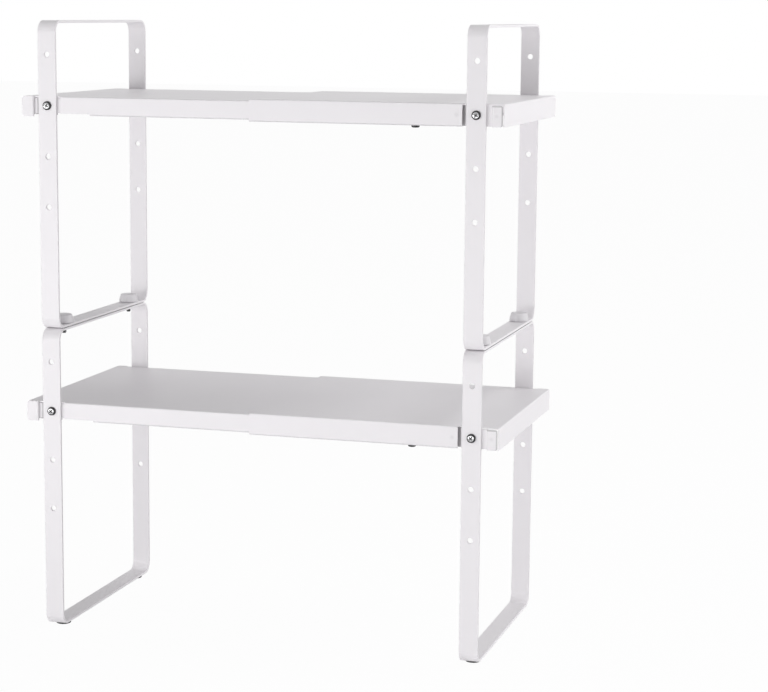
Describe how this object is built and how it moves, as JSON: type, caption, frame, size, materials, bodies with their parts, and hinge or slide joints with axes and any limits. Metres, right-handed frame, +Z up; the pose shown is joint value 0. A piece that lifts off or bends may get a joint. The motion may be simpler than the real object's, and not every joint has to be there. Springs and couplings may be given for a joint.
{
  "type": "expandable shelf organizer",
  "caption": "Freestanding tiered organizer: telescoping sheet-steel trays bolted inside stacked strap loops, with thumb knobs, lock screws and rubber feet.",
  "frame": {"origin": "on the floor under the middle of the organizer in its shortest setting", "axes": "+X along the shelves towards the sliding end, -Y the front, +Z up"},
  "size_m": [0.488, 0.2356, 0.6132],
  "materials": {
    "white_coat": "satin white powder coat on sheet and strap steel",
    "white_plastic": "smooth moulded plastic",
    "chrome": "bright plated steel",
    "black_rubber": "matt"
  },
  "bodies": {
    "left_frame": {"left_lower_loop": "white_coat", "left_upper_loop": "white_coat", "lower_inner_tray": "white_coat", "upper_inner_tray": "white_coat", "lower_left_front_bracket": "white_coat", "lower_left_rear_bracket": "white_coat", "upper_left_front_bracket": "white_coat", "upper_left_rear_bracket": "white_coat", "lower_left_front_screw": "chrome", "lower_left_rear_screw": "chrome", "upper_left_front_screw": "chrome", "upper_left_rear_screw": "chrome", "lower_left_front_nut": "chrome", "lower_left_rear_nut": "chrome", "upper_left_front_nut": "chrome", "upper_left_rear_nut": "chrome", "left_front_foot": "black_rubber", "left_rear_foot": "black_rubber"},
    "right_frame": {"right_lower_loop": "white_coat", "right_upper_loop": "white_coat", "lower_outer_tray": "white_coat", "upper_outer_tray": "white_coat", "lower_right_front_bracket": "white_coat", "lower_right_rear_bracket": "white_coat", "upper_right_front_bracket": "white_coat", "upper_right_rear_bracket": "white_coat", "lower_right_front_screw": "chrome", "lower_right_rear_screw": "chrome", "upper_right_front_screw": "chrome", "upper_right_rear_screw": "chrome", "lower_right_front_nut": "chrome", "lower_right_rear_nut": "chrome", "upper_right_front_nut": "chrome", "upper_right_rear_nut": "chrome", "lower_front_lock_screw": "chrome", "lower_rear_lock_screw": "chrome", "upper_front_lock_screw": "chrome", "upper_rear_lock_screw": "chrome", "right_front_foot": "black_rubber", "right_rear_foot": "black_rubber"},
    "left_front_thumbscrew": {"left_front_knob": "white_plastic", "left_front_stud": "chrome"},
    "left_rear_thumbscrew": {"left_rear_knob": "white_plastic", "left_rear_stud": "chrome"},
    "right_front_thumbscrew": {"right_front_knob": "white_plastic", "right_front_stud": "chrome"},
    "right_rear_thumbscrew": {"right_rear_knob": "white_plastic", "right_rear_stud": "chrome"}
  },
  "joints": [
    {"name": "shelf_extension", "type": "slide", "parent": "left_frame", "child": "right_frame", "axis": [1, 0, 0], "range_m": [0, 0.18]},
    {"name": "left_front_knob_turn", "type": "hinge", "parent": "left_frame", "child": "left_front_thumbscrew", "pos_m": [-0.217, -0.083, 0.311], "axis": [0, 0, 1], "continuous": true},
    {"name": "left_rear_knob_turn", "type": "hinge", "parent": "left_frame", "child": "left_rear_thumbscrew", "pos_m": [-0.217, 0.083, 0.311], "axis": [0, 0, 1], "continuous": true},
    {"name": "right_front_knob_turn", "type": "hinge", "parent": "right_frame", "child": "right_front_thumbscrew", "pos_m": [0.217, -0.083, 0.311], "axis": [0, 0, 1], "continuous": true},
    {"name": "right_rear_knob_turn", "type": "hinge", "parent": "right_frame", "child": "right_rear_thumbscrew", "pos_m": [0.217, 0.083, 0.311], "axis": [0, 0, 1], "continuous": true}
  ]
}
